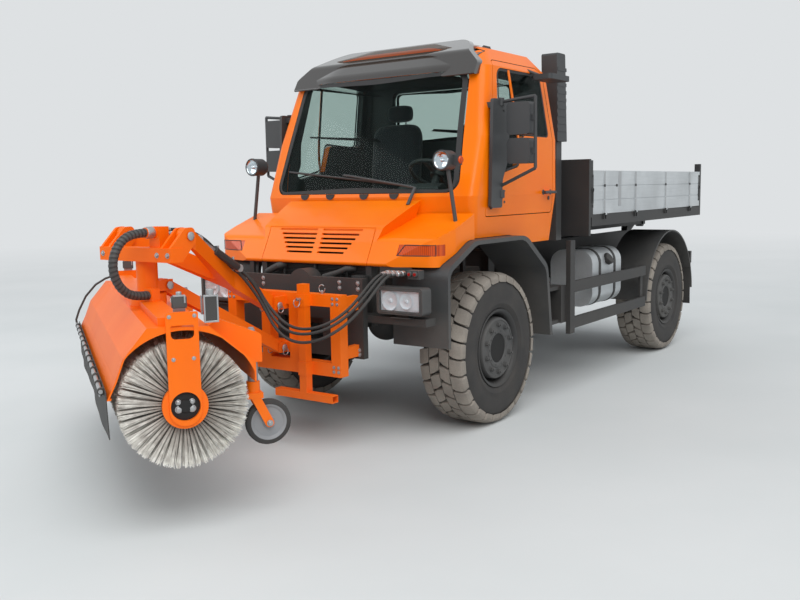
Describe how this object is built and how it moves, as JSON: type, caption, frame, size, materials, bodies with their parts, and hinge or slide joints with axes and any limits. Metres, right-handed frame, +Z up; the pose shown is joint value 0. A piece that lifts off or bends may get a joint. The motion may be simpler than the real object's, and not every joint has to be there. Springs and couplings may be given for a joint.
{
  "type": "street sweeper truck",
  "caption": "All-terrain implement carrier truck with an orange cab, an aluminium drop-side tipping bed and a roller broom on a front lifting frame.",
  "frame": {"origin": "middle of the outline's box, on the ground under the wheels; the truck's own centre plane lies 0.1485 m to the left of it, because the angled broom reaches further to the right", "axes": "+X forwards, +Y to the driver's left, +Z up"},
  "size_m": [7.5678, 2.9434, 2.8836],
  "materials": {
    "orange_paint": "clear-coated orange paint on the cab",
    "work_orange": "orange powder coat on the broom and its frame",
    "black_plastic": "grained dark grey plastic",
    "visor_plastic": "glossy smoked plastic",
    "dark_steel": "black chassis paint",
    "grey_steel": "dark grey wheel paint",
    "cast_grey": "grey cast metal",
    "bare_aluminium": "anodised aluminium",
    "tyre_rubber": "dusty black rubber",
    "soft_rubber": "black rubber sheet",
    "tinted_glass": "lightly tinted glass",
    "lamp_lens": "clear lamp lens",
    "amber_lens": "amber lamp lens",
    "red_lens": "red lamp lens",
    "seat_fabric": "dark grey woven cloth",
    "bristle": "off-white and grey bristles",
    "caster_rubber": "dark grey solid rubber"
  },
  "bodies": {
    "chassis": {"chassis_frame": "dark_steel", "cross_members": "dark_steel", "cab_mounts": "dark_steel", "front_plate": "dark_steel", "engine_block": "cast_grey", "front_axle": "dark_steel", "rear_axle": "dark_steel", "cab_shell": "orange_paint", "cab_glass": "tinted_glass", "roof_visor": "visor_plastic", "seats": "seat_fabric", "dashboard": "black_plastic", "bonnet": "orange_paint", "indicators": "amber_lens", "front_fenders": "black_plastic", "rear_mudguards": "black_plastic", "lamps": "black_plastic", "tail_lamps": "dark_steel", "intake_stack": "black_plastic", "fuel_tank": "bare_aluminium", "side_guards": "dark_steel", "tipping_frame": "dark_steel", "tipping_bars": "dark_steel", "broom_frame": "work_orange", "feed_hoses": "soft_rubber"},
    "service_flap": {"service_flap": "orange_paint"},
    "bed": {"bed": "dark_steel"},
    "tailgate": {"tailgate": "bare_aluminium"},
    "stand": {"stand": "work_orange"},
    "lower_link": {"lower_link": "work_orange"},
    "upper_arms": {"upper_arms": "work_orange"},
    "headstock": {"headstock": "work_orange", "swivel_loom": "soft_rubber"},
    "broom": {"broom_cover": "work_orange", "bearing_arms": "work_orange", "caster_posts": "work_orange", "skirt": "soft_rubber"},
    "brush": {"brush": "bristle"},
    "door_left": {"door_left": "orange_paint", "door_glass_left": "tinted_glass", "mirror_left": "black_plastic"},
    "knuckle_left": {"knuckle_left": "dark_steel"},
    "side_left": {"side_board_left": "bare_aluminium"},
    "wheel_front_left": {"tyre_front_left": "tyre_rubber", "rim_front_left": "grey_steel"},
    "wheel_rear_left": {"tyre_rear_left": "tyre_rubber", "rim_rear_left": "grey_steel"},
    "door_right": {"door_right": "orange_paint", "door_glass_right": "tinted_glass", "mirror_right": "black_plastic"},
    "knuckle_right": {"knuckle_right": "dark_steel"},
    "side_right": {"side_board_right": "bare_aluminium"},
    "wheel_front_right": {"tyre_front_right": "tyre_rubber", "rim_front_right": "grey_steel"},
    "wheel_rear_right": {"tyre_rear_right": "tyre_rubber", "rim_rear_right": "grey_steel"},
    "caster_near": {"caster_fork_near": "work_orange"},
    "caster_wheel_near": {"caster_wheel_near": "caster_rubber"},
    "caster_far": {"caster_fork_far": "work_orange"},
    "caster_wheel_far": {"caster_wheel_far": "caster_rubber"}
  },
  "joints": [
    {"name": "steer_left", "type": "hinge", "parent": "chassis", "child": "knuckle_left", "pos_m": [0.64444, 0.74858, 0.565], "axis": [0, 0, 1], "range_deg": [-32, 32]},
    {"name": "steer_right", "type": "hinge", "parent": "chassis", "child": "knuckle_right", "pos_m": [0.64444, -0.45142, 0.565], "axis": [0, 0, 1], "range_deg": [-32, 32]},
    {"name": "bonnet_flap", "type": "hinge", "parent": "chassis", "child": "service_flap", "pos_m": [1.41044, 0.14858, 1.489], "axis": [0, -1, 0], "range_deg": [0, 70]},
    {"name": "door_left", "type": "hinge", "parent": "chassis", "child": "door_left", "pos_m": [0.75644, 1.15158, 2], "axis": [0, 0, -1], "range_deg": [0, 70]},
    {"name": "door_right", "type": "hinge", "parent": "chassis", "child": "door_right", "pos_m": [0.75644, -0.85442, 2], "axis": [0, 0, 1], "range_deg": [0, 70]},
    {"name": "bed_tip", "type": "hinge", "parent": "chassis", "child": "bed", "pos_m": [-3.65556, 0.14858, 1.32], "axis": [0, -1, 0], "range_deg": [0, 45]},
    {"name": "side_left", "type": "hinge", "parent": "bed", "child": "side_left", "pos_m": [-2.25556, 1.28658, 1.5], "axis": [1, 0, 0], "range_deg": [-180, 0]},
    {"name": "side_right", "type": "hinge", "parent": "bed", "child": "side_right", "pos_m": [-2.25556, -0.98942, 1.5], "axis": [-1, 0, 0], "range_deg": [-180, 0]},
    {"name": "tailgate", "type": "hinge", "parent": "bed", "child": "tailgate", "pos_m": [-3.77056, 0.14858, 1.5], "axis": [0, 1, 0], "range_deg": [-180, 0]},
    {"name": "stand_slide", "type": "slide", "parent": "chassis", "child": "stand", "axis": [0, 0, 1], "range_m": [-0.335, 0]},
    {"name": "lift", "type": "hinge", "parent": "chassis", "child": "lower_link", "pos_m": [1.90844, 0.14858, 0.678], "axis": [0, 1, 0], "range_deg": [-3, 19], "deforming": ["feed_hoses"]},
    {"name": "upper_link", "type": "hinge", "parent": "chassis", "child": "upper_arms", "pos_m": [1.95844, 0.14858, 0.977], "axis": [0, 1, 0], "range_deg": [-3, 19], "deforming": ["feed_hoses"]},
    {"name": "headstock", "type": "hinge", "parent": "lower_link", "child": "headstock", "pos_m": [2.87944, 0.14858, 1.205], "axis": [0, 1, 0], "range_deg": [-19, 3], "deforming": ["feed_hoses"]},
    {"name": "swivel", "type": "hinge", "parent": "headstock", "child": "broom", "pos_m": [2.99444, 0.14858, 1.2], "axis": [0, 0, 1], "range_deg": [0, 64.8], "deforming": ["swivel_loom"]},
    {"name": "brush_spin", "type": "hinge", "parent": "broom", "child": "brush", "pos_m": [2.95222, 0.17537, 0.688], "axis": [0.5358, 0.8443, 0], "continuous": true},
    {"name": "spin_front_left", "type": "hinge", "parent": "knuckle_left", "child": "wheel_front_left", "pos_m": [0.64444, 1.01558, 0.565], "axis": [0, 1, 0], "continuous": true},
    {"name": "spin_front_right", "type": "hinge", "parent": "knuckle_right", "child": "wheel_front_right", "pos_m": [0.64444, -0.71842, 0.565], "axis": [0, 1, 0], "continuous": true},
    {"name": "spin_rear_left", "type": "hinge", "parent": "chassis", "child": "wheel_rear_left", "pos_m": [-2.95556, 1.01558, 0.565], "axis": [0, 1, 0], "continuous": true},
    {"name": "spin_rear_right", "type": "hinge", "parent": "chassis", "child": "wheel_rear_right", "pos_m": [-2.95556, -0.71842, 0.565], "axis": [0, 1, 0], "continuous": true},
    {"name": "caster_swivel_near", "type": "hinge", "parent": "broom", "child": "caster_near", "pos_m": [3.02481, 1.01759, 0.7], "axis": [0, 0, 1], "range_deg": [-90, 90]},
    {"name": "caster_spin_near", "type": "hinge", "parent": "caster_near", "child": "caster_wheel_near", "pos_m": [2.96148, 1.05778, 0.51], "axis": [0.5358, 0.8443, 0], "continuous": true},
    {"name": "caster_swivel_far", "type": "hinge", "parent": "broom", "child": "caster_far", "pos_m": [1.81384, -0.89059, 0.7], "axis": [0, 0, 1], "range_deg": [-90, 90]},
    {"name": "caster_spin_far", "type": "hinge", "parent": "caster_far", "child": "caster_wheel_far", "pos_m": [1.75051, -0.8504, 0.51], "axis": [0.5358, 0.8443, 0], "continuous": true}
  ],
  "couplings": [
    {"joint": "steer_right", "follows": "steer_left", "ratio": 1},
    {"joint": "upper_link", "follows": "lift", "ratio": 1},
    {"joint": "headstock", "follows": "lift", "ratio": -1}
  ]
}
